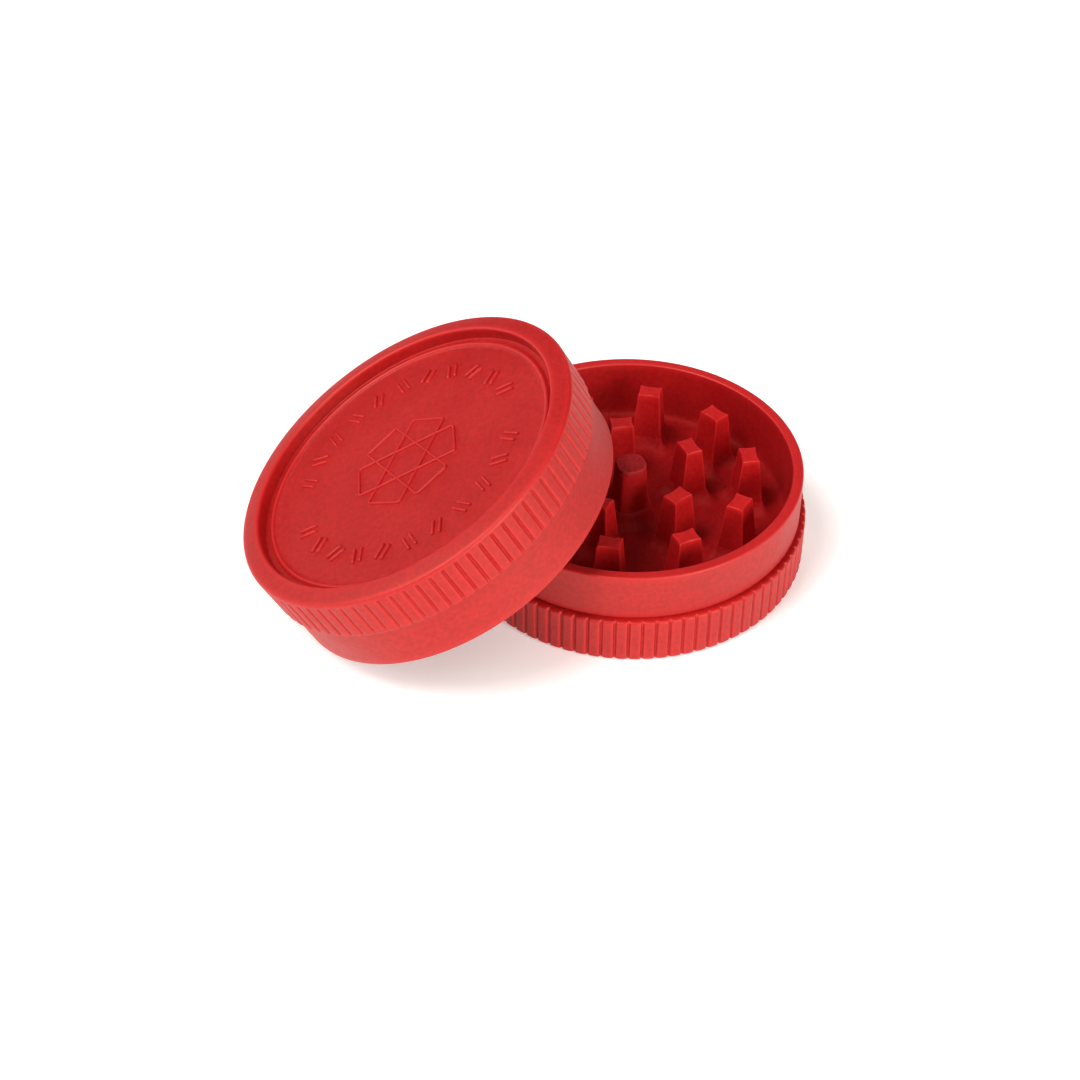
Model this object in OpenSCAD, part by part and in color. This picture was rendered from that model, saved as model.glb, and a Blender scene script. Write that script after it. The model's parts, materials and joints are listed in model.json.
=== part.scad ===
// Two-piece hand grinder for dried herbs, moulded in plastic.
// The toothed base stands on the floor, and the lid lies tilted beside it, mouth down,
// with one edge on the floor and the base's rim just inside its mouth.
// Millimetres, +Z up. The origin is the centre of the base's underside.

/* [Base] */
// Outer radius of the smooth collar that the lid slides over
collar_radius = 26.15; // [21.8:0.05:34]
// Wall thickness of the collar and the grip bands' inside
collar_wall = 1.65; // [1.2:0.05:2.4]
// Full height of the base, foot to rim
base_height = 15.5; // [12:0.1:22]
// Height of the ribbed grip band
base_grip_height = 7.5; // [5:0.1:9]
// How far the base's grip band stands proud of the closed lid's skirt
grip_proud = 0.05; // [0:0.05:1]
// Height of the chamber floor above the foot
floor_height = 5.5; // [4.5:0.1:7]
// Radius of the pad in the middle of the underside
foot_pad_radius = 8; // [5:0.5:14]
// Width of the foot's outer ring, inside the chamber's radius
foot_ring_width = 1.5; // [1:0.1:4]
// Depth of the ring-shaped relief between pad and ring
foot_relief_depth = 1.2; // [0.4:0.1:2]

/* [Lid] */
// Height of the smooth skirt below the grip band
skirt_height = 7.4; // [6:0.1:9]
// Step from the skirt out to the lid's grip band
lid_grip_step = 0.65; // [0.3:0.05:1.5]
// Height left over the base's rim when the lid is on
lid_headroom = 2.9; // [2:0.1:5]
// Wall thickness of the skirt
skirt_wall = 0.8; // [0.6:0.05:1.2]
// Radial clearance of the skirt on the base's collar
skirt_clearance = 0.1; // [0.08:0.01:0.3]
// Height of the plain band between the ribs and the top
lid_rim_height = 1.1; // [0.6:0.1:2]
// Width of the rim round the recess in the top
rim_width = 3.4; // [2:0.1:5]
// Depth of the recess in the top
recess_depth = 2.0; // [1:0.1:3]
// Inward slope of the recess wall, top edge to floor
recess_slope = 0.8; // [0.2:0.1:1.5]
// Thickness of the plate under the recess
plate_thickness = 2.0; // [1.5:0.1:3]

/* [Grip ribs] */
// Ribs round each grip band
rib_count = 84; // [60:1:96]
// Radius of the groove between two ribs
groove_radius = 0.34; // [0.24:0.02:0.5]
// Depth of the groove
groove_depth = 0.32; // [0.2:0.02:0.5]
// Chamfer on the ends of the grip bands
band_chamfer = 0.35; // [0.1:0.05:0.8]

/* [Teeth] */
// Teeth in each outer ring
outer_tooth_count = 10; // [6:1:12]
// Teeth in each inner ring
inner_tooth_count = 5; // [3:1:6]
// Distance from the chamber wall to the middle of the base's outer ring
outer_ring_inset = 6.35; // [5:0.05:7.5]
// Distance between the base's outer and inner rings
ring_step = 8.29; // [7:0.01:9.5]
// Gap between the chamber wall and the lid's outer ring of teeth
tooth_wall_gap = 0.5; // [0.3:0.05:1]
// Half width of a base tooth's top, along the radius
tooth_top_radial = 1.32; // [0.9:0.01:1.5]
// Half width of a base tooth's top, across the radius
tooth_top_tangential = 1.75; // [1.2:0.01:1.9]
// Half width of a base tooth's foot, along the radius
tooth_foot_radial = 2.3; // [1.6:0.01:2.4]
// Half width of a base tooth's foot, across the radius
tooth_foot_tangential = 2.45; // [1.9:0.01:2.6]
// Radius of the hollow flute on each side of a tooth
flute_radius = 3.6; // [3:0.1:6]
// Distance of the base's tooth tops below its rim
tooth_top_drop = 0.35; // [0.1:0.05:1.5]
// Angle of the first tooth of the base's outer ring
base_tooth_angle = 6.3; // [0:0.1:36]
// Angle of the first tooth of the lid's outer ring
lid_tooth_angle = 12; // [0:1:36]
// Width of a lid tooth as a share of a base tooth's width
lid_tooth_width = 0.8; // [0.6:0.02:0.9]

/* [Centre posts and magnets] */
// Radius of the base's centre post at its top
post_radius = 2.55; // [2.3:0.05:3]
// Extra radius of the base's centre post at its foot
post_flare = 0.75; // [0.2:0.05:1.2]
// Radius of each disc magnet
magnet_radius = 1.75; // [1.4:0.05:1.9]
// Height of the base's magnet
base_magnet_height = 3.0; // [1.5:0.1:5]
// Thickness of the cap over each magnet
cap_thickness = 0.8; // [0.5:0.05:1.2]
// Radial clearance of the lid's magnet in its socket
magnet_clearance = 0.06; // [0.03:0.01:0.1]
// Gap between the two caps when the lid is on
cap_gap = 0.3; // [0.1:0.05:1]

/* [Lid position] */
// Tilt of the lid away from level
lid_tilt = 28.7; // [24:0.1:33]
// Compass angle, from +X, of the side that the lid leans towards
lid_bearing = 184.1; // [170:0.1:200]
// Depth that the base's rim reaches into the lid's mouth
rim_reach = 1.6; // [0.5:0.1:2.5]
// Sideways offset of the lid from the line through the base
lid_offset = 7.95; // [0:0.05:9]
// Gap from the base's rim to the tips of the lid's teeth
tip_gap = 0.5; // [0.3:0.05:2]

/* [Top relief] */
// Height of the raised marks on the lid
relief_height = 0.35; // [0.2:0.05:0.6]
// Pairs of bars in each arc of raised marks
pair_count = 11; // [5:1:13]
// Distance from the recess floor's edge to the arcs of raised marks
bar_inset = 5.9; // [4:0.1:8]
// Length of a raised bar
bar_length = 2.8; // [1.5:0.1:3.4]
// Width of a raised bar
bar_width = 0.46; // [0.3:0.02:0.6]
// Distance between the two bars of a pair
bar_spacing = 1.15; // [0.8:0.05:1.5]

/* [Hidden] */
$fn = 96;
edge_cut = 0.15;
seat_gap = 0.1;
chamber_radius = collar_radius - collar_wall;
skirt_inner = collar_radius + skirt_clearance;
skirt_radius = skirt_inner + skirt_wall;
base_grip_radius = skirt_radius + grip_proud;
lid_grip_radius = skirt_radius + lid_grip_step;
// The collar slides into the lid as far as this step.
step_height = base_height - base_grip_height + seat_gap;
plate_bottom = step_height + lid_headroom;
plate_top = plate_bottom + plate_thickness;
lid_height = plate_top + recess_depth;
recess_radius = lid_grip_radius - rim_width;
recess_floor_radius = recess_radius - recess_slope;
// The lid's rings of teeth pass between the base's rings, the post and the wall.
base_outer_ring = chamber_radius - outer_ring_inset;
base_inner_ring = base_outer_ring - ring_step;
lid_outer_ring = chamber_radius - tooth_wall_gap - tooth_foot_radial * lid_tooth_width;
lid_inner_ring = (base_outer_ring + base_inner_ring) / 2;
tooth_top = base_height - tooth_top_drop;
tooth_length = tooth_top - floor_height;
lid_tip = rim_reach + tip_gap;
lid_tooth_length = plate_bottom - lid_tip;
base_post_top = base_height - 0.25;
// The closed lid's mouth stands this high, which sets where the two caps meet.
closed_mouth = base_grip_height + seat_gap;
lid_cap_bottom = base_post_top + cap_gap - closed_mouth;
lid_boss_bottom = lid_cap_bottom + cap_thickness + magnet_clearance;
// The lid touches the floor with the chamfered lower edge of its skirt.
lid_z = (skirt_radius - edge_cut) * sin(lid_tilt);
lid_out = collar_radius + (base_height - rim_reach / cos(lid_tilt) - lid_z) / tan(lid_tilt);
lid_x = lid_out * cos(lid_bearing) - lid_offset * sin(lid_bearing);
lid_y = lid_out * sin(lid_bearing) + lid_offset * cos(lid_bearing);

module in_lid() {
  translate([lid_x, lid_y, lid_z]) rotate([0, lid_tilt, lid_bearing]) children();
}

// A ring with its outer edges chamfered, standing on z = 0.
module chamfered_ring(outer, inner, high, cut_low, cut_high) {
  rotate_extrude()
    polygon([[inner, 0], [outer - cut_low, 0], [outer, cut_low], [outer, high - cut_high],
      [outer - cut_high, high], [inner, high]]);
}

module grip_band(outer, inner, high) {
  intersection() {
    chamfered_ring(outer, inner, high, band_chamfer, band_chamfer);
    linear_extrude(height = high) difference() {
      circle(r = outer + 1);
      for (i = [0 : rib_count - 1])
        rotate((i + 0.5) * 360 / rib_count)
          translate([outer - groove_depth + groove_radius, 0]) circle(r = groove_radius);
    }
  }
}

// Distance from a tooth's middle to the axis of the flute cut into one side.
function flute_offset(half, across) = half + sqrt(pow(flute_radius, 2) - pow(across, 2));

module flute(top_offset, foot_offset, long) {
  lean = atan((foot_offset - top_offset) / long);
  translate([foot_offset, 0, 0]) rotate([0, -lean, 0]) translate([0, 0, -2])
    cylinder(r = flute_radius, h = long / cos(lean) + 4);
}

// A tapering four-cornered tooth with hollow sides, foot on z = 0.
module tooth(long, size) {
  tr = tooth_top_radial * size;
  tt = tooth_top_tangential * size;
  fr = tooth_foot_radial * size;
  ft = tooth_foot_tangential * size;
  difference() {
    translate([-fr, -ft, 0]) cube([2 * fr, 2 * ft, long]);
    for (side = [0, 180]) rotate(side) flute(flute_offset(tr, tt), flute_offset(fr, ft), long);
    for (side = [90, 270]) rotate(side) flute(flute_offset(tt, tr), flute_offset(ft, fr), long);
  }
}

module tooth_ring(ring, count, first, long, size) {
  for (i = [0 : count - 1])
    rotate(first + i * 360 / count) translate([ring, 0, 0]) tooth(long, size);
}

module base_floor() {
  color("firebrick") rotate_extrude()
    polygon([[0, 0], [foot_pad_radius, 0], [foot_pad_radius + 0.6, foot_relief_depth],
      [chamber_radius - foot_ring_width - 0.6, foot_relief_depth],
      [chamber_radius - foot_ring_width, 0], [chamber_radius, 0],
      [chamber_radius, floor_height], [0, floor_height]]);
}

module base_grip_band() {
  color("firebrick") grip_band(base_grip_radius, chamber_radius, base_grip_height);
}

// The collar's foot is undercut a little where it meets the grip band.
module base_collar() {
  color("firebrick") rotate_extrude()
    polygon([[chamber_radius, base_grip_height], [collar_radius - 0.25, base_grip_height],
      [collar_radius - 0.25, base_grip_height + 0.3], [collar_radius, base_grip_height + 0.5],
      [collar_radius, base_height - 0.3], [collar_radius - 0.3, base_height],
      [chamber_radius + 0.25, base_height], [chamber_radius, base_height - 0.25]]);
}

module base_outer_teeth() {
  color("firebrick") translate([0, 0, floor_height])
    tooth_ring(base_outer_ring, outer_tooth_count, base_tooth_angle, tooth_length, 1);
}

module base_inner_teeth() {
  color("firebrick") translate([0, 0, floor_height])
    tooth_ring(base_inner_ring, inner_tooth_count, base_tooth_angle + 180 / outer_tooth_count,
      tooth_length, 1);
}

module base_centre_post() {
  post_top = base_post_top - cap_thickness;
  color("firebrick") difference() {
    translate([0, 0, floor_height])
      cylinder(r1 = post_radius + post_flare, r2 = post_radius, h = post_top - floor_height);
    translate([0, 0, post_top - base_magnet_height])
      cylinder(r = magnet_radius + magnet_clearance, h = base_magnet_height + 1);
  }
}

module base_magnet() {
  color("silver") translate([0, 0, base_post_top - cap_thickness - base_magnet_height])
    cylinder(r = magnet_radius, h = base_magnet_height);
}

module magnet_cap() {
  rotate_extrude()
    polygon([[0, 0], [post_radius, 0], [post_radius, cap_thickness - 0.2],
      [post_radius - 0.2, cap_thickness], [0, cap_thickness]]);
}

module base_magnet_cap() {
  color("brown") translate([0, 0, base_post_top - cap_thickness]) magnet_cap();
}

// The plate that closes the top, with a small bead round its edge.
module lid_plate() {
  edge = recess_floor_radius;
  color("firebrick") in_lid() rotate_extrude()
    polygon([[0, plate_bottom], [edge, plate_bottom], [edge, plate_top],
      [edge - 0.25, plate_top + 0.3], [edge - 0.45, plate_top + 0.3], [edge - 0.75, plate_top],
      [0, plate_top]]);
}

// The plain band round the top, slightly domed, sloping inwards into the recess.
module lid_rim() {
  low = lid_height - lid_rim_height;
  edge = recess_floor_radius;
  color("firebrick") in_lid() rotate_extrude()
    polygon([[edge, plate_bottom], [chamber_radius, plate_bottom],
      [chamber_radius, low], [lid_grip_radius - 0.1, low],
      [lid_grip_radius - 0.15, lid_height - 0.75], [lid_grip_radius - 0.4, lid_height - 0.3],
      [lid_grip_radius - 1, lid_height - 0.1], [lid_grip_radius - 1.8, lid_height],
      [recess_radius + 0.9, lid_height], [recess_radius + 0.35, lid_height - 0.2],
      [recess_radius, lid_height - 0.65], [edge, plate_top]]);
}

// The ribbed band is stepped inside where the base's rim stops.
module lid_grip_band() {
  high = lid_height - lid_rim_height - skirt_height;
  color("firebrick") in_lid() translate([0, 0, skirt_height]) difference() {
    grip_band(lid_grip_radius, chamber_radius, high);
    translate([0, 0, -1]) cylinder(r = skirt_inner, h = step_height - skirt_height + 1);
  }
}

module lid_skirt() {
  color("firebrick") in_lid() rotate_extrude()
    polygon([[skirt_inner + edge_cut, 0], [skirt_radius - edge_cut, 0], [skirt_radius, edge_cut],
      [skirt_radius, skirt_height], [skirt_inner, skirt_height], [skirt_inner, edge_cut]]);
}

module hanging_teeth(ring, count, first) {
  in_lid() translate([0, 0, plate_bottom]) mirror([0, 0, 1])
    tooth_ring(ring, count, first, lid_tooth_length, lid_tooth_width);
}

module lid_outer_teeth() {
  color("firebrick") hanging_teeth(lid_outer_ring, outer_tooth_count, lid_tooth_angle);
}

module lid_inner_teeth() {
  color("firebrick") hanging_teeth(lid_inner_ring, inner_tooth_count, lid_tooth_angle);
}

module lid_centre_boss() {
  color("firebrick") in_lid() difference() {
    translate([0, 0, lid_boss_bottom])
      cylinder(r1 = post_radius, r2 = post_radius + post_flare / 2,
        h = plate_bottom - lid_boss_bottom);
    translate([0, 0, lid_boss_bottom - 1])
      cylinder(r = magnet_radius + magnet_clearance, h = 1 + plate_bottom);
  }
}

module lid_relief() {
  color("firebrick") in_lid() translate([0, 0, plate_top]) {
    for (arc = [0, 180], i = [0 : pair_count - 1], side = [-0.5, 0.5])
      rotate(arc + 18 + i * 144 / (pair_count - 1))
        translate([recess_floor_radius - bar_inset, 0, 0]) rotate(i % 2 * 40 - 20)
        translate([-bar_length / 2, side * bar_spacing - bar_width / 2, 0])
        cube([bar_length, bar_width, relief_height]);
    for (i = [0 : 2]) rotate(i * 60) difference() {
      translate([-8.2, -3.1, 0]) cube([16.4, 6.2, relief_height]);
      translate([-7.85, -2.75, -1]) cube([15.7, 5.5, relief_height + 2]);
    }
  }
}

module lid_magnet() {
  color("silver") in_lid() translate([0, 0, lid_cap_bottom + cap_thickness])
    cylinder(r = magnet_radius, h = plate_bottom - 0.1 - lid_cap_bottom - cap_thickness);
}

module lid_magnet_cap() {
  color("brown") in_lid() translate([0, 0, lid_cap_bottom + cap_thickness]) mirror([0, 0, 1])
    magnet_cap();
}

base_floor();
base_grip_band();
base_collar();
base_outer_teeth();
base_inner_teeth();
base_centre_post();
base_magnet();
base_magnet_cap();
lid_plate();
lid_rim();
lid_grip_band();
lid_skirt();
lid_outer_teeth();
lid_inner_teeth();
lid_centre_boss();
lid_relief();
lid_magnet();
lid_magnet_cap();
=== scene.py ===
import json
import math
import bpy
import numpy as np
from mathutils import Matrix, Vector


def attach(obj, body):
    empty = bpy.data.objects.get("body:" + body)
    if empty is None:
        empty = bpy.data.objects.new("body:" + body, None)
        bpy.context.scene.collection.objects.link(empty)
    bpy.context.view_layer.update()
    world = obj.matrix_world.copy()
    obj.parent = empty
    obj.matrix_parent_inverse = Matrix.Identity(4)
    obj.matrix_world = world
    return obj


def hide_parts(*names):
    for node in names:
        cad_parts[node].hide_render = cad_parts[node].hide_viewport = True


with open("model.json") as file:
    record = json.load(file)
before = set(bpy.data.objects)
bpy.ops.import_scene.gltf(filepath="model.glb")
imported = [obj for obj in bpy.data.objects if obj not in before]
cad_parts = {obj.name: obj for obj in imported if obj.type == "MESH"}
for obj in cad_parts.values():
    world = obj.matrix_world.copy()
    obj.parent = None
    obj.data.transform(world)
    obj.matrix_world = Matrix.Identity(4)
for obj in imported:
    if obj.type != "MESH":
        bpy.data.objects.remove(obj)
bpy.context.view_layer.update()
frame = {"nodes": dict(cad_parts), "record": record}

MM = 0.001


# ---------------------------------------------------------------- sizes from the CAD
def cad(node):
    mesh = frame["nodes"][node].data
    co = np.empty(len(mesh.vertices) * 3)
    mesh.vertices.foreach_get("co", co)
    return co.reshape(-1, 3)


turn = [j for j in frame["record"]["behaviour"]["joints"] if j["name"] == "lid_turn"][0]
lid_n = Vector(turn["axis"]).normalized()
lid_o = Vector(turn["pos_m"])
tilt = math.acos(lid_n.z)
bearing = math.atan2(lid_n.y, lid_n.x)
LID = Matrix.Translation(lid_o) @ Matrix.Rotation(bearing, 4, "Z") @ Matrix.Rotation(tilt, 4, "Y")
LID_INV = np.array(LID.inverted())


def lid_cad(node):
    co = cad(node)
    return co @ LID_INV[:3, :3].T + LID_INV[:3, 3]


def radii(co):
    return np.hypot(co[:, 0], co[:, 1])


def ring_of(co, top, count):
    """Ring radius and first angle of teeth, from the vertices of their tips."""
    z = co[:, 2]
    tip = z.max() if top else z.min()
    flat = co[np.abs(z - tip) < 2e-5]
    r = (radii(flat).max() + radii(flat).min()) / 2
    step = 2 * math.pi / count
    ang = np.arctan2(flat[:, 1], flat[:, 0])
    mean = np.angle(np.exp(1j * ang * count).mean()) / count
    return r, mean, step


c = cad("base_collar")
COLLAR_R, CHAMBER_R, BASE_H = radii(c).max(), radii(c).min(), c[:, 2].max()
c = cad("base_grip_band")
BASE_GRIP_R, BASE_GRIP_H = radii(c).max(), c[:, 2].max()
c = cad("base_floor")
FLOOR_Z = c[:, 2].max()
RELIEF = sorted(set(np.round(c[:, 2], 6)))[1]
c = cad("base_outer_teeth")
TOOTH_TOP = c[:, 2].max()
OUTER = ring_of(c, True, 10)
INNER = ring_of(cad("base_inner_teeth"), True, 5)
c = cad("base_centre_post")
POST_FOOT_R, POST_TOP = radii(c).max(), c[:, 2].max()
c = cad("base_magnet_cap")
CAP_R, CAP_LOW, CAP_TOP = radii(c).max(), c[:, 2].min(), c[:, 2].max()
c = lid_cad("lid_skirt")
SKIRT_R, SKIRT_IN, SKIRT_H = radii(c).max(), radii(c).min(), c[:, 2].max()
c = lid_cad("lid_grip_band")
LID_GRIP_R, LID_IN, LID_GRIP_TOP = radii(c).max(), radii(c).min(), c[:, 2].max()
inner_low = c[np.abs(radii(c) - LID_IN) < 2e-5]
STEP_Z = inner_low[:, 2].min()
c = lid_cad("lid_rim")
LID_H = c[:, 2].max()
c = lid_cad("lid_plate")
PLATE_LOW, DISC_R = c[:, 2].min(), radii(c).max()
DISC_Z = lid_cad("lid_relief")[:, 2].min()
top_ring = lid_cad("lid_rim")
top_ring = top_ring[np.abs(top_ring[:, 2] - LID_H) < 2e-5]
WALL_R = radii(top_ring).min() - 0.63 * MM
L_OUTER = ring_of(lid_cad("lid_outer_teeth"), False, 10)
L_INNER = ring_of(lid_cad("lid_inner_teeth"), False, 5)
LID_TIP = lid_cad("lid_outer_teeth")[:, 2].min()
c = lid_cad("lid_centre_boss")
BOSS_LOW, BOSS_R = c[:, 2].min(), radii(c).max()
c = lid_cad("lid_magnet_cap")
LCAP_LOW, LCAP_HIGH = c[:, 2].min(), c[:, 2].max()


# ---------------------------------------------------------------- mesh helpers
def add_wear_and_highlight(mesh):
    """Store how sharply each vertex stands out, for paler edges that are partly wear and partly a painted
    highlight: 0 flat or hollow, 1 at a 0.3 mm radius.
    """
    n, m = len(mesh.vertices), len(mesh.edges)
    co, no, ed = np.empty(n * 3), np.empty(n * 3), np.empty(m * 2, np.int32)
    mesh.vertices.foreach_get("co", co)
    mesh.vertex_normals.foreach_get("vector", no)
    mesh.edges.foreach_get("vertices", ed)
    co, no, ed = co.reshape(-1, 3), no.reshape(-1, 3), ed.reshape(-1, 2)
    top = np.zeros(n)
    for a, b in ((0, 1), (1, 0)):
        d = co[ed[:, a]] - co[ed[:, b]]
        length = np.maximum(np.einsum("ij,ij->i", d, d), (.04 * MM) ** 2)
        bend = 2 * np.einsum("ij,ij->i", no[ed[:, a]], d) / length
        np.maximum.at(top, ed[:, a], bend)
    wear_and_highlight = np.clip(top * .3 * MM, 0, 1)
    for _ in range(2):
        total, count = wear_and_highlight.copy(), np.ones(n)
        for a, b in ((0, 1), (1, 0)):
            np.add.at(total, ed[:, a], wear_and_highlight[ed[:, b]])
            np.add.at(count, ed[:, a], 1)
        wear_and_highlight = total / count
    mesh.attributes.new("wear_and_highlight", "FLOAT", "POINT").data.foreach_set("value", wear_and_highlight.astype(np.float32))


def new_object(name, verts, faces, smooth=35, matrix=None):
    mesh = bpy.data.meshes.new(name)
    mesh.from_pydata([tuple(v) for v in verts], [], faces)
    mesh.validate()
    if matrix is not None:
        mesh.transform(matrix)
    mesh.update()
    # paler convex edges and crests: partly wear, partly a painted highlight
    add_wear_and_highlight(mesh)
    mesh.shade_smooth()
    if smooth < 180:
        mesh.set_sharp_from_angle(angle=math.radians(smooth))
    ob = bpy.data.objects.new(name, mesh)
    bpy.context.collection.objects.link(ob)
    return ob


RIBS = 84


def rib_angles():
    """Angles round a ribbed band, closer together in the grooves."""
    half = [0, .03, .055, .08, .105, .13, .16, .19, .24, .32, .41]
    offs = sorted(set(half + [-h for h in half] + [.5]))
    pitch = 2 * math.pi / RIBS
    return np.array([((i + 0.5) + o) * pitch for i in range(RIBS) for o in offs if o > -.5])


def groove(theta, radius):
    """How deep a groove is at each angle, 0 on a rib and 1 in the groove's middle, and the rib's crown."""
    pitch = 2 * math.pi / RIBS
    f = (theta / pitch - 0.5) % 1.0
    f = np.where(f > .5, f - 1, f)
    s = np.abs(f) * pitch * radius / MM
    deep = np.exp(-(s / 0.235) ** 2.3)
    crown = np.clip((s - 0.2) / 0.8, 0, 1)
    return deep, np.sin(crown * math.pi / 2)


def lathe(profile, theta, ribbed_radius=None, depth=0.31 * MM, crown=0.035 * MM):
    """Sweep a closed (r, z, rib weight) profile, which starts and ends on the axis or joins itself."""
    n = len(theta)
    verts, rows = [], []
    if ribbed_radius:
        deep, crowned = groove(theta, ribbed_radius)
    for r, z, k in profile:
        if r < 1e-7:
            rows.append([len(verts)])
            verts.append((0, 0, z))
            continue
        rr = np.full(n, r)
        if k and ribbed_radius:
            rr = rr - k * (depth * deep + crown * (1 - crowned))
        rows.append(list(range(len(verts), len(verts) + n)))
        verts += list(zip(rr * np.cos(theta), rr * np.sin(theta), np.full(n, z)))
    faces = []
    pairs = list(zip(rows[:-1], rows[1:]))
    if len(rows[0]) > 1 and len(rows[-1]) > 1:
        pairs.append((rows[-1], rows[0]))
    for a, b in pairs:
        for i in range(n):
            j = (i + 1) % n
            if len(a) == 1 and len(b) == 1:
                continue
            if len(a) == 1:
                faces.append((a[0], b[j], b[i]))
            elif len(b) == 1:
                faces.append((a[i], a[j], b[0]))
            else:
                faces.append((a[i], a[j], b[j], b[i]))
    return verts, faces


def arc(cx, cz, rad, a0, a1, n, k=0.0, k1=None):
    """Profile points on an arc, angles in degrees, rib weight going from k to k1."""
    k1 = k if k1 is None else k1
    out = []
    for i in range(n):
        t = i / (n - 1)
        a = math.radians(a0 + (a1 - a0) * t)
        out.append((cx + rad * math.cos(a), cz + rad * math.sin(a), k + (k1 - k) * t))
    return out


def line(p, q, n, k=0.0):
    return [(p[0] + (q[0] - p[0]) * i / n, p[1] + (q[1] - p[1]) * i / n, k) for i in range(1, n)]


def tooth_section(a, b, rf=3.6 * MM, n=25):
    """Outline of a four-cornered tooth with hollow sides: half widths a (radial) and b (across)."""
    pts = []
    dr = a + math.sqrt(rf * rf - b * b)
    dt = b + math.sqrt(rf * rf - a * a)
    for i in range(n - 1):
        y = -b + 2 * b * i / (n - 1)
        pts.append((dr - math.sqrt(rf * rf - y * y), y))
    for i in range(n - 1):
        x = a - 2 * a * i / (n - 1)
        pts.append((x, dt - math.sqrt(rf * rf - x * x)))
    for i in range(n - 1):
        y = b - 2 * b * i / (n - 1)
        pts.append((-dr + math.sqrt(rf * rf - y * y), y))
    for i in range(n - 1):
        x = -a + 2 * a * i / (n - 1)
        pts.append((x, -dt + math.sqrt(rf * rf - x * x)))
    p = np.array(pts)
    for _ in range(2):
        p = 0.5 * p + 0.25 * (np.roll(p, 1, 0) + np.roll(p, -1, 0))
    return p * (np.array([a, b]) / np.abs(p).max(0))


TOP_A, TOP_B, FOOT_A, FOOT_B = 1.32 * MM, 1.75 * MM, 2.3 * MM, 2.45 * MM


def teeth(rings, z_foot, z_top, size=1.0, down=False):
    """Rings of teeth as one mesh. Each stands on z_foot and ends at z_top."""
    verts, faces = [], []
    levels = [-0.04] + list(np.linspace(0, 1, 13)[:-1]) + [0.985]
    for (ring, first, step), count in rings:
        for i in range(count):
            ang = first + i * step
            ca, sa = math.cos(ang), math.sin(ang)
            rows = []
            rim = [(t, 0.0) for t in levels]
            rim += [(0.993, 0.03 * MM), (0.999, 0.08 * MM), (1.0, 0.14 * MM), (1.0, 0.3 * MM)]
            for t, inset in rim:
                tt = min(max(t, 0), 1)
                a = (FOOT_A + (TOP_A - FOOT_A) * tt) * size
                b = (FOOT_B + (TOP_B - FOOT_B) * tt) * size
                sec = tooth_section(a, b, (3.8 + 3.2 * tt) * MM)
                if inset:
                    rad = np.hypot(sec[:, 0], sec[:, 1])
                    sec = sec * ((rad - inset) / rad)[:, None]
                z = z_foot + (z_top - z_foot) * t
                rows.append(range(len(verts), len(verts) + len(sec)))
                for x, y in sec:
                    X = x + ring
                    verts.append((X * ca - y * sa, X * sa + y * ca, z))
            m = len(rows[0])
            for r0, r1 in zip(rows[:-1], rows[1:]):
                for k in range(m):
                    q = (k + 1) % m
                    f = (r0[k], r0[q], r1[q], r1[k])
                    faces.append(f[::-1] if down else f)
            for row, flip in ((rows[0], True), (rows[-1], False)):
                cz = verts[row[0]][2]
                cen = len(verts)
                verts.append((ring * ca, ring * sa, cz))
                for k in range(m):
                    q = (k + 1) % m
                    f = (row[k], row[q], cen)
                    faces.append(f[::-1] if flip != down else f)
    return verts, faces


def floor_disc(radius, z_floor, z_under, rings, size, rise, up=True, post=None):
    """A disc whose surface sweeps up in a small fillet at every tooth's foot."""
    n_t, n_r = 480, int(radius / (0.3 * MM))
    theta = np.linspace(0, 2 * math.pi, n_t, endpoint=False)
    rr = np.linspace(0, radius, n_r + 1)[1:]
    T, R = np.meshgrid(theta, rr)
    X, Y = R * np.cos(T), R * np.sin(T)
    Z = np.zeros_like(X)
    sec = tooth_section(FOOT_A * size, FOOT_B * size)
    for (ring, first, step), count in rings:
        for i in range(count):
            ang = first + i * step
            u = X * math.cos(ang) + Y * math.sin(ang) - ring
            v = -X * math.sin(ang) + Y * math.cos(ang)
            near = np.hypot(u, v) < 6.4 * MM
            un, vn = u[near], v[near]
            d = np.full(un.shape, 9.0)
            a, b = sec, np.roll(sec, -1, 0)
            inside = np.zeros(un.shape, bool)
            for p, q in zip(a, b):
                e = q - p
                t = np.clip(((un - p[0]) * e[0] + (vn - p[1]) * e[1]) / (e @ e), 0, 1)
                d = np.minimum(d, np.hypot(un - p[0] - t * e[0], vn - p[1] - t * e[1]))
                cross = (p[1] > vn) != (q[1] > vn)
                with np.errstate(divide="ignore", invalid="ignore"):
                    xi = (q[0] - p[0]) * (vn - p[1]) / (q[1] - p[1]) + p[0]
                inside ^= cross & (un < xi)
            d[inside] = 0
            lift = rise - np.sqrt(np.maximum(rise ** 2 - np.maximum(rise - d, 0) ** 2, 0))
            Z[near] = np.hypot(Z[near], lift)
    if post:
        d = np.maximum(R - post, 0)
        lift = rise - np.sqrt(np.maximum(rise ** 2 - np.maximum(rise - d, 0) ** 2, 0))
        Z = np.minimum(np.hypot(Z, lift), rise)
    s = 1 if up else -1
    verts = [(0, 0, z_floor + s * (rise if post else 0)), (0, 0, z_under)]
    top = []
    for k in range(n_r):
        top.append(range(len(verts), len(verts) + n_t))
        verts += list(zip(X[k], Y[k], z_floor + s * Z[k]))
    low = range(len(verts), len(verts) + n_t)
    verts += list(zip(X[-1], Y[-1], np.full(n_t, z_under)))
    faces = []
    for i in range(n_t):
        j = (i + 1) % n_t
        fs = [(0, top[0][i], top[0][j])]
        for k in range(n_r - 1):
            fs.append((top[k][i], top[k + 1][i], top[k + 1][j], top[k][j]))
        fs.append((top[-1][i], low[i], low[j], top[-1][j]))
        fs.append((low[i], 1, low[j]))
        faces += fs if up else [f[::-1] for f in fs]
    return verts, faces


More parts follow.
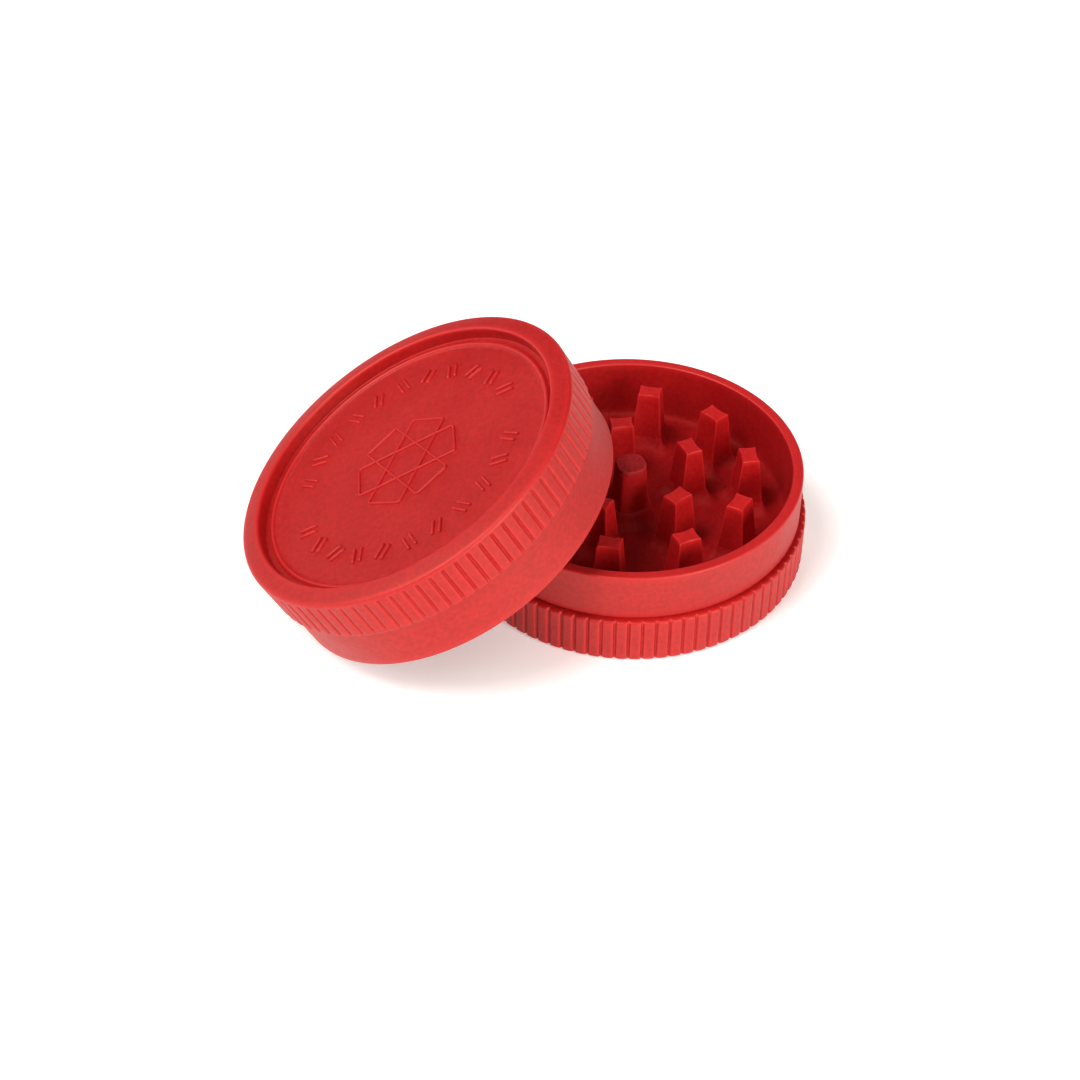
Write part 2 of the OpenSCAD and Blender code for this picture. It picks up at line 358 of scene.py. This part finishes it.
# ---------------------------------------------------------------- materials
def plastic(name, base, dark, speck, rough=0.47, grain=1.0, shine=0.55):
    mat = bpy.data.materials.new(name)
    mat.use_nodes = True
    nt = mat.node_tree
    N, L = nt.nodes, nt.links
    bsdf = N["Principled BSDF"]
    bsdf.inputs["Specular IOR Level"].default_value = shine
    bsdf.inputs["IOR"].default_value = 1.58
    bsdf.inputs["Specular Tint"].default_value = (1.0, 0.92, 0.78, 1)
    tc = N.new("ShaderNodeTexCoord")
    blot = N.new("ShaderNodeTexNoise")
    blot.inputs["Scale"].default_value = 95
    blot.inputs["Detail"].default_value = 4
    blot.inputs["Roughness"].default_value = 0.6
    fine = N.new("ShaderNodeTexNoise")
    fine.inputs["Scale"].default_value = 1500
    fine.inputs["Detail"].default_value = 3
    spk = N.new("ShaderNodeTexVoronoi")
    spk.inputs["Scale"].default_value = 620
    spk.inputs["Randomness"].default_value = 1.0
    warp = N.new("ShaderNodeMapping")
    warp.inputs["Scale"].default_value = (1.0, 1.0, 0.55)
    warp.inputs["Rotation"].default_value = (0.5, 0.35, 0.2)
    for t in (blot, fine):
        L.new(tc.outputs["Object"], t.inputs["Vector"])
    L.new(tc.outputs["Object"], warp.inputs["Vector"])
    L.new(warp.outputs["Vector"], spk.inputs["Vector"])

    def ramp(src, stops):
        r = N.new("ShaderNodeValToRGB")
        el = r.color_ramp.elements
        el[0].position, el[0].color = stops[0][0], stops[0][1]
        el[1].position, el[1].color = stops[1][0], stops[1][1]
        L.new(src, r.inputs["Fac"])
        return r

    r1 = ramp(blot.outputs["Fac"], [(0.32, (*dark, 1)), (0.62, (*base, 1))])
    r2 = ramp(fine.outputs["Fac"], [(0.35, (0.87, 0.84, 0.84, 1)), (0.68, (1.08, 1.14, 1.14, 1))])
    mul = N.new("ShaderNodeMix")
    mul.data_type = "RGBA"
    mul.blend_type = "MULTIPLY"
    mul.inputs["Factor"].default_value = 1.0
    L.new(r1.outputs["Color"], mul.inputs["A"])
    L.new(r2.outputs["Color"], mul.inputs["B"])
    r3 = ramp(spk.outputs["Distance"], [(0.05, (1, 1, 1, 1)), (0.13, (0, 0, 0, 1))])
    gate = ramp(spk.outputs["Color"], [(0.72, (0, 0, 0, 1)), (0.8, (1, 1, 1, 1))])
    both = N.new("ShaderNodeMath")
    both.operation = "MULTIPLY"
    L.new(r3.outputs["Color"], both.inputs[0])
    L.new(gate.outputs["Color"], both.inputs[1])
    half = N.new("ShaderNodeMath")
    half.operation = "MULTIPLY"
    half.inputs[1].default_value = 0.4
    L.new(both.outputs["Value"], half.inputs[0])
    mix = N.new("ShaderNodeMix")
    mix.data_type = "RGBA"
    mix.inputs["B"].default_value = (*speck, 1)
    L.new(half.outputs["Value"], mix.inputs["Factor"])
    L.new(mul.outputs["Result"], mix.inputs["A"])
    # convex edges and crests are a little paler: partly rubbed wear, partly a painted highlight
    wear_and_highlight_attr = N.new("ShaderNodeAttribute")
    wear_and_highlight_attr.attribute_name = "wear_and_highlight"
    edge = N.new("ShaderNodeMapRange")
    edge.inputs["From Min"].default_value = 0.12
    edge.inputs["From Max"].default_value = 0.8
    edge.inputs["To Max"].default_value = 0.65
    L.new(wear_and_highlight_attr.outputs["Fac"], edge.inputs["Value"])
    pale = N.new("ShaderNodeMix")
    pale.data_type = "RGBA"
    pale.inputs["B"].default_value = (min(base[0] * 1.25, 1), base[1] * 2.2, base[2] * 2.0, 1)
    L.new(edge.outputs["Result"], pale.inputs["Factor"])
    L.new(mix.outputs["Result"], pale.inputs["A"])
    L.new(pale.outputs["Result"], bsdf.inputs["Base Color"])
    rr = N.new("ShaderNodeMapRange")
    rr.inputs["From Min"].default_value = 0.3
    rr.inputs["From Max"].default_value = 0.7
    rr.inputs["To Min"].default_value = rough - 0.05
    rr.inputs["To Max"].default_value = rough + 0.08
    L.new(blot.outputs["Fac"], rr.inputs["Value"])
    L.new(rr.outputs["Result"], bsdf.inputs["Roughness"])
    b1 = N.new("ShaderNodeBump")
    b1.inputs["Strength"].default_value = 0.35 * grain
    b1.inputs["Distance"].default_value = 0.00004
    L.new(fine.outputs["Fac"], b1.inputs["Height"])
    b2 = N.new("ShaderNodeBump")
    b2.inputs["Strength"].default_value = 0.25 * grain
    b2.inputs["Distance"].default_value = 0.00025
    L.new(blot.outputs["Fac"], b2.inputs["Height"])
    L.new(b1.outputs["Normal"], b2.inputs["Normal"])
    L.new(b2.outputs["Normal"], bsdf.inputs["Normal"])
    return mat


RED = (0.49, 0.0095, 0.0125)
RED_D = (0.455, 0.0075, 0.0105)
SPECK = (0.58, 0.06, 0.055)
m_base = plastic("red_plastic_base", RED, RED_D, SPECK)
# the lid gets a slightly brighter copy of the base's red: painted light on the lid
m_lid_painted_light = plastic("red_plastic_lid_painted_light", (0.515, 0.0095, 0.0125), (0.48, 0.0075, 0.0105), SPECK)
# the chamber's floor gets a darker copy of the red: painted shade in the recess; it is also rougher and less
# shiny
m_chamber_painted_shade = plastic("red_plastic_chamber_painted_shade", (0.42, 0.0075, 0.0105), (0.36, 0.006, 0.009), (0.50, 0.04, 0.035),
                 rough=0.6, shine=0.2)
# the teeth get a brighter copy of the red: painted light on the teeth
m_teeth_painted_light = plastic("red_plastic_teeth_painted_light", (0.55, 0.0115, 0.0145), (0.51, 0.009, 0.012), SPECK, shine=0.4)
m_cap = plastic("dull_red_plastic", (0.40, 0.014, 0.018), (0.30, 0.010, 0.013), (0.46, 0.05, 0.05),
               rough=0.62, grain=2.5, shine=0.2)


def plated_magnet():
    mat = bpy.data.materials.new("plated_magnet")
    mat.use_nodes = True
    nt = mat.node_tree
    b = nt.nodes["Principled BSDF"]
    b.inputs["Metallic"].default_value = 1.0
    tc = nt.nodes.new("ShaderNodeTexCoord")
    ns = nt.nodes.new("ShaderNodeTexNoise")
    ns.inputs["Scale"].default_value = 900
    rp = nt.nodes.new("ShaderNodeValToRGB")
    rp.color_ramp.elements[0].color = (0.5, 0.5, 0.52, 1)
    rp.color_ramp.elements[1].color = (0.78, 0.78, 0.8, 1)
    nt.links.new(tc.outputs["Object"], ns.inputs["Vector"])
    nt.links.new(ns.outputs["Fac"], rp.inputs["Fac"])
    nt.links.new(rp.outputs["Color"], b.inputs["Base Color"])
    mr = nt.nodes.new("ShaderNodeMapRange")
    mr.inputs["To Min"].default_value = 0.2
    mr.inputs["To Max"].default_value = 0.4
    nt.links.new(ns.outputs["Fac"], mr.inputs["Value"])
    nt.links.new(mr.outputs["Result"], b.inputs["Roughness"])
    return mat


m_mag = plated_magnet()


def dress(ob, mat, body, slot, *nodes):
    ob.data.materials.clear()
    ob.data.materials.append(mat)
    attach(ob, body)
    if nodes:
        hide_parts(*nodes)


# ---------------------------------------------------------------- base
TH = rib_angles()
CHAMBER_FILLET = 1.1 * MM
FOOT_PAD_R = 8 * MM


def base_profile():
    """Outline of the base from the middle of its foot, up its outside and down to the chamber's floor."""
    g, h = BASE_GRIP_R, BASE_GRIP_H
    pad, ring = FOOT_PAD_R, CHAMBER_R - 1.5 * MM
    prof = [(0, 0, 0), (4 * MM, 0, 0), (pad - .15 * MM, 0, 0)]
    prof += arc(pad - .15 * MM, .15 * MM, .15 * MM, -90, 0, 4)[1:]
    prof += [(pad + .55 * MM, RELIEF - .12 * MM, 0), (pad + .8 * MM, RELIEF, 0)]
    prof += line((pad + .8 * MM, RELIEF), (ring - .8 * MM, RELIEF), 5)
    prof += [(ring - .8 * MM, RELIEF, 0), (ring - .55 * MM, RELIEF - .12 * MM, 0)]
    prof += arc(ring + .15 * MM, .15 * MM, .15 * MM, 180, 270, 4)
    prof += [(g - 1.6 * MM, 0, 0), (g - .8 * MM, 0, .3)]
    prof += arc(g - .5 * MM, .5 * MM, .5 * MM, -90, 0, 7, .75, 1)
    prof += line((g, .5 * MM), (g, h - .45 * MM), 6, 1)
    prof += arc(g - .45 * MM, h - .45 * MM, .45 * MM, 0, 90, 7, 1, .55)
    prof += [(COLLAR_R + .12 * MM, h, .1), (COLLAR_R - .05 * MM, h - .03 * MM, 0)]
    prof += [(COLLAR_R - .24 * MM, h + .02 * MM, 0), (COLLAR_R - .25 * MM, h + .2 * MM, 0)]
    prof += arc(COLLAR_R - .22 * MM, h + .5 * MM, .22 * MM, -70, 0, 5)
    prof += line((COLLAR_R, h + .5 * MM), (COLLAR_R, BASE_H - .35 * MM), 8)
    prof += arc(COLLAR_R - .35 * MM, BASE_H - .35 * MM, .35 * MM, 0, 90, 7)
    prof += arc(CHAMBER_R + .28 * MM, BASE_H - .28 * MM, .28 * MM, 90, 180, 6)
    f = CHAMBER_FILLET
    prof += line((CHAMBER_R, BASE_H - .28 * MM), (CHAMBER_R, FLOOR_Z + f), 8)
    prof += arc(CHAMBER_R - f, FLOOR_Z + f, f, 0, -90, 12)
    prof += [(CHAMBER_R - f - .2 * MM, FLOOR_Z - .4 * MM, 0), (0, FLOOR_Z - .4 * MM, 0)]
    return prof


v, fa = lathe(base_profile(), TH, BASE_GRIP_R)
shell = new_object("base_shell", v, fa, 40)
dress(shell, m_base, "base", "base_plastic", "base_grip_band", "base_collar")
# the fillet round the chamber's foot is as dull as its floor and takes its darker red, painted shade
shell.data.materials.append(m_chamber_painted_shade)
for poly in shell.data.polygons:
    x, y, z = poly.center
    if math.hypot(x, y) < CHAMBER_R - .03 * MM and z > FLOOR_Z - .2 * MM:
        poly.material_index = 1

rings = [(OUTER, 10), (INNER, 5)]
TOOTH_FILLET = 2.2 * MM
floor_edge = CHAMBER_R - CHAMBER_FILLET + .35 * MM
v, fa = floor_disc(floor_edge, FLOOR_Z, FLOOR_Z - .8 * MM, rings, 1.0, TOOTH_FILLET, post=POST_FOOT_R)
chamber = new_object("base_chamber_floor", v, fa, 60)
dress(chamber, m_chamber_painted_shade, "base", "base_plastic", "base_floor")

v, fa = teeth(rings, FLOOR_Z, TOOTH_TOP)
bt = new_object("base_teeth", v, fa, 42)
dress(bt, m_teeth_painted_light, "base", "base_plastic", "base_outer_teeth", "base_inner_teeth")

# centre post: tapered, rounded square, with a shallow hollow in each side
POST_SIDES = 120
th = np.linspace(0, 2 * math.pi, POST_SIDES, endpoint=False)
POST_TURN = math.radians(63)
v, rows = [], []
for t in np.linspace(-.05, 1, 16):
    tt = max(t, 0)
    r = POST_FOOT_R + (CAP_R - POST_FOOT_R) * tt ** .8
    side = 0.5 - 0.5 * np.cos(4 * (th - POST_TURN))
    rad = 1.03 * r * (1 - (.22 - .08 * tt) * side ** .7)
    z = FLOOR_Z + (POST_TOP - FLOOR_Z) * t
    rows.append(range(len(v), len(v) + len(th)))
    v += list(zip(rad * np.cos(th), rad * np.sin(th), np.full(len(th), z)))
fa = []
for r0, r1 in zip(rows[:-1], rows[1:]):
    for k in range(POST_SIDES):
        q = (k + 1) % POST_SIDES
        fa.append((r0[k], r0[q], r1[q], r1[k]))
fa += [tuple(reversed(rows[0])), tuple(rows[-1])]
post = new_object("base_post", v, fa, 45)
dress(post, m_base, "base", "base_plastic", "base_centre_post")


def rough_cap(radius, low, high, up=True, seed=3):
    rng = np.random.default_rng(seed)
    ph = rng.uniform(0, 6.28, 6)
    n = 96
    t = np.linspace(0, 2 * math.pi, n, endpoint=False)
    wob = 1 - .02 - .09 * (0.5 - 0.5 * np.cos(4 * (t - math.radians(63)))) ** .8
    wob = wob + .012 * np.sin(3 * t + ph[0]) + .009 * np.sin(7 * t + ph[1]) + .006 * np.sin(13 * t + ph[2])
    s = 1 if up else -1
    a, b = (low, high) if up else (high, low)
    steps = [(1.0, a), (1.0, b - s * .22 * MM), (.975, b - s * .09 * MM), (.93, b - s * .02 * MM)]
    steps += [(q, b) for q in (.85, .74, .62, .5, .38, .26, .13)]
    verts, rows = [(0, 0, a)], []
    for q, z in steps:
        rows.append(range(len(verts), len(verts) + n))
        inner = q < .9
        for i in range(n):
            x, y = radius * wob[i] * q * math.cos(t[i]), radius * wob[i] * q * math.sin(t[i])
            dz = 0.0
            if inner:
                dz = -abs(.09 * MM * (math.sin(x / MM * 4.1 + ph[3]) * math.cos(y / MM * 3.7 + ph[4])
                          + .6 * math.sin((x + y) / MM * 7.3 + ph[5])))
            verts.append((x, y, z + s * dz))
    cen = len(verts)
    verts.append((0, 0, b - s * .04 * MM))
    faces = []
    for i in range(n):
        j = (i + 1) % n
        fs = [(0, rows[0][j], rows[0][i])]
        fs += [(r0[i], r0[j], r1[j], r1[i]) for r0, r1 in zip(rows[:-1], rows[1:])]
        fs.append((rows[-1][i], rows[-1][j], cen))
        faces += fs if up else [q[::-1] for q in fs]
    return verts, faces


v, fa = rough_cap(CAP_R, CAP_LOW, CAP_TOP)
cap = new_object("base_cap", v, fa, 50)
dress(cap, m_cap, "base", "cap", "base_magnet_cap")

# ---------------------------------------------------------------- lid, in its own frame
CREST = LID_H - .1 * MM
MOAT = DISC_Z - .16 * MM


def lid_outside():
    """Outline of the lid from its mouth, over the rim's crest and down the recess to the disc."""
    g = LID_GRIP_R
    prof = [(SKIRT_IN + .12 * MM, .02 * MM, 0), (SKIRT_IN + .22 * MM, 0, 0), (SKIRT_R - .3 * MM, 0, 0)]
    prof += arc(SKIRT_R - .2 * MM, .2 * MM, .2 * MM, -80, 0, 5)
    prof += line((SKIRT_R, .2 * MM), (SKIRT_R, SKIRT_H - .1 * MM), 7)
    prof += [(SKIRT_R, SKIRT_H - .1 * MM, 0), (SKIRT_R + .04 * MM, SKIRT_H - .01 * MM, 0)]
    prof += [(g - .5 * MM, SKIRT_H, .2)]
    prof += arc(g - .4 * MM, SKIRT_H + .4 * MM, .4 * MM, -90, 0, 6, .7, 1)
    prof += line((g, SKIRT_H + .4 * MM), (g, LID_GRIP_TOP - .6 * MM), 6, 1)
    prof += [(g, LID_GRIP_TOP - .6 * MM, 1), (g, LID_GRIP_TOP - .42 * MM, .9), (g, LID_GRIP_TOP - .28 * MM, .6),
             (g, LID_GRIP_TOP - .16 * MM, .25), (g, LID_GRIP_TOP - .06 * MM, 0)]
    prof += arc(g - .62 * MM, LID_H - 1.12 * MM, .62 * MM, 0, 68, 9)
    crown = WALL_R + .40 * MM
    x0, z0 = prof[-1][:2]
    for i in range(1, 7):
        t = i / 6
        prof.append((x0 + (crown - x0) * t, CREST - (CREST - z0) * (1 - t) ** 1.2, 0))
    prof += arc(crown, CREST - .36 * MM, .36 * MM, 90, 172, 10)[1:]
    x0, z0 = prof[-1][:2]
    prof += line((x0, z0), (WALL_R - .03 * MM, MOAT + .2 * MM), 6)
    prof += arc(WALL_R - .24 * MM, MOAT + .2 * MM, .2 * MM, 0, -90, 5)
    prof += arc(DISC_R + .30 * MM, MOAT + .2 * MM, .2 * MM, -90, -170, 5)
    prof += [(DISC_R + .04 * MM, DISC_Z - .04 * MM, 0), (DISC_R - .01 * MM, DISC_Z - .03 * MM, 0)]
    prof += arc(DISC_R - .33 * MM, DISC_Z - .01 * MM, .31 * MM, 12, 165, 12)
    prof += [(DISC_R - .72 * MM, DISC_Z + .01 * MM, 0), (DISC_R - 1.2 * MM, DISC_Z, 0)]
    prof += line((DISC_R - 1.2 * MM, DISC_Z), (0, DISC_Z), 12)
    prof += [(0, DISC_Z, 0)]
    return prof


def lid_inside():
    """Outline of the lid's inside: plate, wall, step and skirt, down to the mouth."""
    f = 1.0 * MM
    inn = [(0, PLATE_LOW, 0)] + line((0, PLATE_LOW), (LID_IN - f, PLATE_LOW), 8)
    inn += arc(LID_IN - f, PLATE_LOW - f, f, 90, 0, 10)
    inn += [(LID_IN, STEP_Z + .15 * MM, 0), (LID_IN + .12 * MM, STEP_Z, 0), (SKIRT_IN - .1 * MM, STEP_Z, 0)]
    inn += [(SKIRT_IN, STEP_Z - .1 * MM, 0)] + line((SKIRT_IN, STEP_Z - .1 * MM), (SKIRT_IN, .12 * MM), 6)
    inn += [(SKIRT_IN, .12 * MM, 0)]
    return inn


v1, f1 = lathe(lid_outside(), TH, LID_GRIP_R)
v2, f2 = lathe(lid_inside(), TH)
# join the two sweeps along the mouth's edge
n = len(TH)
off = len(v1)
f1 = [q for q in f1 if not (len(q) == 4 and min(q) < n and max(q) >= off - 1 - n and max(q) < off)]
faces = f1 + [tuple(i + off for i in q) for q in f2]
last = off + len(v2) - n
for i in range(n):
    j = (i + 1) % n
    faces.append((last + i, last + j, j, i))
lid = new_object("lid_shell", v1 + v2, faces, 40, LID)
dress(lid, m_lid_painted_light, "lid", "lid_plastic", "lid_plate", "lid_rim", "lid_grip_band", "lid_skirt")

lr = [(L_OUTER, 10), (L_INNER, 5)]
v, fa = teeth(lr, PLATE_LOW, LID_TIP, 0.8, down=True)
lt = new_object("lid_teeth", v, fa, 42, LID)
dress(lt, m_lid_painted_light, "lid", "lid_plastic", "lid_outer_teeth", "lid_inner_teeth")

th = np.linspace(0, 2 * math.pi, 96, endpoint=False)
bo = [(0, BOSS_LOW, 0), (CAP_R - .12 * MM, BOSS_LOW, 0), (CAP_R, BOSS_LOW + .12 * MM, 0)]
bo += line((CAP_R, BOSS_LOW + .12 * MM), (BOSS_R, PLATE_LOW - .5 * MM), 4)
bo += arc(BOSS_R + .5 * MM, PLATE_LOW - .5 * MM, .5 * MM, 180, 90, 7)
bo += [(BOSS_R + .5 * MM, PLATE_LOW + .2 * MM, 0), (0, PLATE_LOW + .2 * MM, 0)]
v, fa = lathe(bo, th)
boss = new_object("lid_boss", v, fa, 45, LID)
dress(boss, m_lid_painted_light, "lid", "lid_plastic", "lid_centre_boss")
v, fa = rough_cap(CAP_R, LCAP_LOW, LCAP_HIGH, up=False, seed=8)
cap2 = new_object("lid_cap", v, fa, 50, LID)
dress(cap2, m_cap, "lid_core", "cap", "lid_magnet_cap")


# raised marks on the lid: pairs of plain bars in two arcs, and three crossed rounded rectangles
def ridge(points, width, high, z, closed=False):
    """A low rounded ridge along a line of points in the lid's plane."""
    p = np.array(points, float)
    m = len(p)
    prof2 = [(-.5, -.12), (-.46, .35), (-.34, .78), (-.15, 1), (.15, 1), (.34, .78), (.46, .35), (.5, -.12)]
    verts, faces = [], []
    for i in range(m):
        a = p[(i - 1) % m] if closed or i else p[i]
        c2 = p[(i + 1) % m] if closed or i < m - 1 else p[i]
        d = (c2 - a) / max(np.linalg.norm(c2 - a), 1e-12)
        nrm = np.array([-d[1], d[0]])
        scale = 1.0
        if closed:
            e = (p[i] - p[(i - 1) % m]) / np.linalg.norm(p[i] - p[(i - 1) % m])
            scale = 1 / max(abs(e @ d), .5)
        taper = 1.0 if closed or 0 < i < m - 1 else .55
        for s, t in prof2:
            q = p[i] + nrm * s * width * scale * taper
            verts.append((q[0], q[1], z + t * high * (1.0 if taper == 1 else (.5 if t > 0 else 1))))
    k = len(prof2)
    span = m if closed else m - 1
    for i in range(span):
        j = (i + 1) % m
        for t in range(k - 1):
            faces.append((i * k + t, i * k + t + 1, j * k + t + 1, j * k + t)[::-1])
        faces.append((i * k + k - 1, i * k, j * k, j * k + k - 1)[::-1])
    if not closed:
        faces.append(tuple(range(k)))
        faces.append(tuple(reversed(range((m - 1) * k, m * k))))
    return verts, faces


verts, faces = [], []


def add(vf):
    o = len(verts)
    verts.extend(vf[0])
    faces.extend(tuple(i + o for i in q) for q in vf[1])


BAR_R, BAR_L, BAR_W, BAR_GAP, MARK_H = DISC_R - 5.9 * MM, 2.8 * MM, .46 * MM, 1.15 * MM, .34 * MM
BAR_PAIRS, BAR_FIRST, BAR_STEP, BAR_LEAN = 11, 18, 14.4, 20
for a0 in (0, 180):
    for i in range(BAR_PAIRS):
        ang = math.radians(a0 + BAR_FIRST + i * BAR_STEP)
        lean = ang + math.radians(-BAR_LEAN if i % 2 == 0 else BAR_LEAN)
        for side in (-.5, .5):
            cx = BAR_R * math.cos(ang) - side * BAR_GAP * math.sin(lean)
            cy = BAR_R * math.sin(ang) + side * BAR_GAP * math.cos(lean)
            dx, dy = math.cos(lean) * BAR_L / 2, math.sin(lean) * BAR_L / 2
            pts = [(cx + dx * s, cy + dy * s) for s in (-1, -.92, -.5, 0, .5, .92, 1)]
            add(ridge(pts, BAR_W, MARK_H, DISC_Z))
hx, hy, cr = 8.03 * MM, 2.93 * MM, .5 * MM
for k3 in range(3):
    rot = math.radians(60 * k3)
    pts = []
    for sx, sy, a1 in ((1, 1, 0), (-1, 1, 90), (-1, -1, 180), (1, -1, 270)):
        for k in range(6):
            a = math.radians(a1 + 18 * k)
            x, y = sx * (hx - cr) + cr * math.cos(a), sy * (hy - cr) + cr * math.sin(a)
            pts.append((x * math.cos(rot) - y * math.sin(rot), x * math.sin(rot) + y * math.cos(rot)))
    add(ridge(pts, .36 * MM, .3 * MM, DISC_Z, closed=True))
marks = new_object("lid_marks", verts, faces, 60, LID)
dress(marks, m_lid_painted_light, "lid", "lid_plastic", "lid_relief")

for node in ("base_magnet", "lid_magnet"):
    ob = frame["nodes"][node]
    ob.data.materials.clear()
    ob.data.materials.append(m_mag)

# ---------------------------------------------------------------- floor, light, camera
bpy.ops.mesh.primitive_plane_add(size=60, location=(0, 0, -0.0001))
floor = bpy.context.object
floor.name = "studio_floor"
fm = bpy.data.materials.new("pale_floor")
fm.use_nodes = True
fb = fm.node_tree.nodes["Principled BSDF"]
fb.inputs["Base Color"].default_value = (0.86, 0.86, 0.86, 1)
fb.inputs["Roughness"].default_value = 0.9
fb.inputs["Specular IOR Level"].default_value = 0.1
fb.inputs["Emission Color"].default_value = (1, 1, 1, 1)
fb.inputs["Emission Strength"].default_value = 0.32
floor.data.materials.append(fm)

world = bpy.data.worlds.new("studio")
bpy.context.scene.world = world
world.use_nodes = True
bg = world.node_tree.nodes["Background"]
bg.inputs["Color"].default_value = (1, 1, 1, 1)
bg.inputs["Strength"].default_value = 0.1


def soft_light(name, bearing_deg, height_deg, strength, color, glossy=True):
    """A large soft source far away, given by the direction that it shines from."""
    lamp = bpy.data.lights.new(name, "SUN")
    lamp.energy = strength * math.pi
    lamp.angle = math.radians(24)
    lamp.color = color
    ob = bpy.data.objects.new(name, lamp)
    az, el = math.radians(bearing_deg), math.radians(height_deg)
    toward = Vector((math.cos(el) * math.cos(az), math.cos(el) * math.sin(az), math.sin(el)))
    ob.rotation_euler = toward.to_track_quat("Z", "Y").to_euler()
    ob.visible_glossy = glossy
    bpy.context.collection.objects.link(ob)


soft_light("left_high", 210, 62, .52, (1, .985, .96))
soft_light("left_mid", 218, 38, .22, (1, .985, .96))
soft_light("right_high", 315, 62, .12, (1, .98, .95))
soft_light("right_mid", 318, 25, .41, (1, .96, .88))
soft_light("right_low", 300, 15, .29, (1, .96, .88))
soft_light("back_low", 90, 24, .19, (1, .98, .94), glossy=False)
soft_light("left_low", 180, 30, .15, (1, .99, .97))
soft_light("back_left", 150, 38, .10, (1, 1, 1))

# the photograph's viewpoint
LENS_MM, PITCH, ROLL = 200 / 3, 0.7319, -0.0029
T = np.array([0.5262, -0.0147, 11.9376]) * 0.0263
cp, sp = math.cos(PITCH), math.sin(PITCH)
Rx = np.array([[1, 0, 0], [0, -sp, -cp], [0, cp, -sp]])
Rz = np.array([[math.cos(ROLL), -math.sin(ROLL), 0], [math.sin(ROLL), math.cos(ROLL), 0], [0, 0, 1]])
R = Rz @ Rx
C = -R.T @ T
cam_data = bpy.data.cameras.new("camera")
cam_data.sensor_width = 36
cam_data.lens = LENS_MM
cam_data.clip_start = 0.01
cam = bpy.data.objects.new("camera", cam_data)
M = Matrix.Identity(4)
axes = np.stack([R[0], -R[1], -R[2]], 1)
for i in range(3):
    for j in range(3):
        M[i][j] = axes[i, j]
    M[i][3] = C[i]
cam.matrix_world = M
bpy.context.collection.objects.link(cam)
scene = bpy.context.scene
scene.camera = cam
scene.view_settings.view_transform = "Standard"
scene.view_settings.look = "None"
scene.view_settings.gamma = 0.88

bpy.context.view_layer.update()
